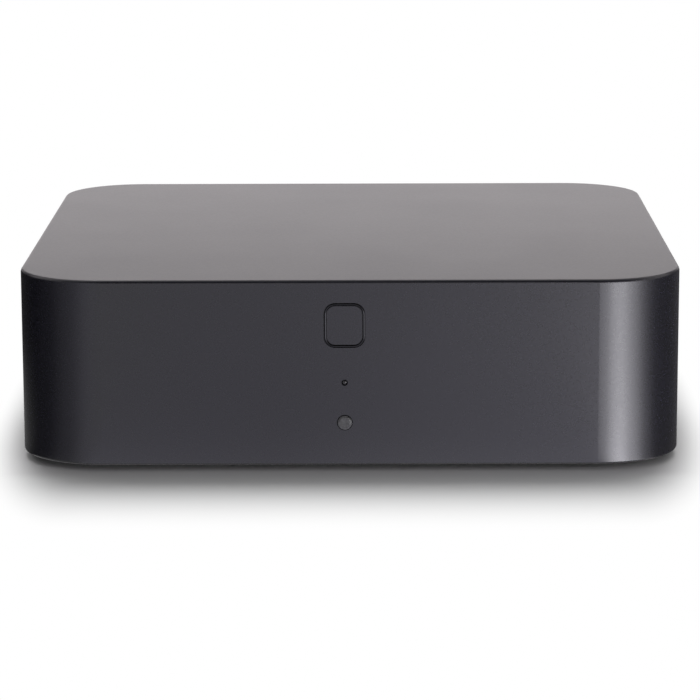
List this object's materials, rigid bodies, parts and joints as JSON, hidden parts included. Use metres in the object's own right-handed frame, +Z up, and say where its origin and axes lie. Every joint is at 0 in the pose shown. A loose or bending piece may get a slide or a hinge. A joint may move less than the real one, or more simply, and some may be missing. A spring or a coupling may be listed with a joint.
{
  "type": "network audio adapter",
  "caption": "Small square black box that plays music from the home network through a hi-fi, with a push button and a status light in front and jacks at the rear.",
  "frame": {"origin": "on the floor under the middle of the housing, in the plane of the four feet", "axes": "+Z up; the front with the button faces -Y, the rear panel with the jacks faces +Y, and +X is to the right as seen from the front"},
  "size_m": [0.143, 0.1506, 0.0415],
  "materials": {
    "housing_plastic": "satin black with a fine grain",
    "base_plastic": "matt black, lightly grained",
    "foot_rubber": "dull black rubber",
    "black_screw": "black zinc",
    "steel_screw": "bright zinc",
    "panel_metal": "black powder coat",
    "badge_gloss": "polished dark grey",
    "button_plastic": "satin grey",
    "clear_plastic": "clear",
    "switch_plastic": "black moulded",
    "plunger_plastic": "ivory moulded",
    "led_resin": "milky resin",
    "board_green": "green lacquer",
    "socket_plastic": "ivory moulded",
    "ribbon_film": "white film",
    "chip_epoxy": "black epoxy",
    "thermal_silicone": "soft blue-grey silicone",
    "sink_aluminium": "extruded",
    "pin_nylon": "white nylon",
    "can_aluminium": "smooth can",
    "ferrite": "dark ferrite",
    "tin": "tinned sheet",
    "aerial_film": "copper under clear film",
    "lead_plastic": "black sheath",
    "jack_plastic": "black moulded",
    "gold": "gold plated",
    "nickel": "nickel plated",
    "tongue_plastic": "white moulded",
    "shutter_plastic": "dark grey moulded",
    "orange_plastic": "orange moulded",
    "red_plastic": "red moulded",
    "white_plastic": "white moulded"
  },
  "bodies": {
    "case": {"housing": "housing_plastic", "base_plate": "base_plastic", "foot_front_left": "foot_rubber", "foot_front_right": "foot_rubber", "foot_rear_left": "foot_rubber", "foot_rear_right": "foot_rubber", "base_screws": "black_screw", "badge_ring": "badge_gloss", "light_pipe": "clear_plastic", "status_led": "led_resin", "switch_body": "switch_plastic", "front_board": "board_green", "front_board_screws": "steel_screw", "ribbon_sockets": "socket_plastic", "ribbon_cable": "ribbon_film", "main_board": "board_green", "main_board_screws": "steel_screw", "processor": "chip_epoxy", "thermal_pad": "thermal_silicone", "heat_sink": "sink_aluminium", "heat_sink_pins": "pin_nylon", "memory_chips": "chip_epoxy", "audio_chips": "chip_epoxy", "crystals": "tin", "power_inductors": "ferrite", "network_transformer": "chip_epoxy", "electrolytic_capacitors": "can_aluminium", "wireless_board": "board_green", "wireless_shield": "tin", "aerial_left": "aerial_film", "aerial_right": "aerial_film", "aerial_lead_left": "lead_plastic", "aerial_lead_right": "lead_plastic", "rear_panel": "panel_metal", "jack_screws": "black_screw", "power_jack_body": "jack_plastic", "power_jack_pin": "nickel", "network_jack_shield": "tin", "network_jack_insert": "jack_plastic", "network_jack_contacts": "gold", "data_jack_shell": "tin", "data_jack_tongue": "tongue_plastic", "video_jack_shell": "tin", "video_jack_tongue": "jack_plastic", "optical_jack_body": "jack_plastic", "optical_receiver": "jack_plastic", "coax_jack_body": "jack_plastic", "stereo_jack_body": "jack_plastic", "phono_barrels": "gold", "phono_contacts": "gold", "coax_ring": "orange_plastic", "right_channel_ring": "red_plastic", "left_channel_ring": "white_plastic", "ground_stud": "nickel"},
    "front_button": {"button_cap": "button_plastic", "switch_plunger": "plunger_plastic"},
    "optical_flap": {"optical_shutter": "shutter_plastic"},
    "ground_washer": {"ground_washer": "nickel"},
    "ground_nut": {"ground_nut": "nickel"}
  },
  "joints": [
    {"name": "button_press", "type": "slide", "parent": "case", "child": "front_button", "axis": [0, 1, 0], "range_m": [0, 0.00035], "stiffness_N_per_m": 1500, "springref_m": -0.0005},
    {"name": "shutter_swing", "type": "hinge", "parent": "case", "child": "optical_flap", "pos_m": [0.01928, 0.0679, 0.0193], "axis": [-1, 0, 0], "range_deg": [0, 85], "stiffness_Nm_per_rad": 0.00005, "springref_deg": -17.19},
    {"name": "washer_slide", "type": "slide", "parent": "case", "child": "ground_washer", "axis": [0, 1, 0], "range_m": [0, 0.00211]},
    {"name": "thumb_nut_turn", "type": "hinge", "parent": "ground_washer", "child": "ground_nut", "pos_m": [0.03182, 0.0698, 0.03], "axis": [0, 1, 0], "range_deg": [0, 1080]}
  ],
  "couplings": [
    {"joint": "washer_slide", "follows": "thumb_nut_turn", "m_per_rad": 0.00011141}
  ]
}
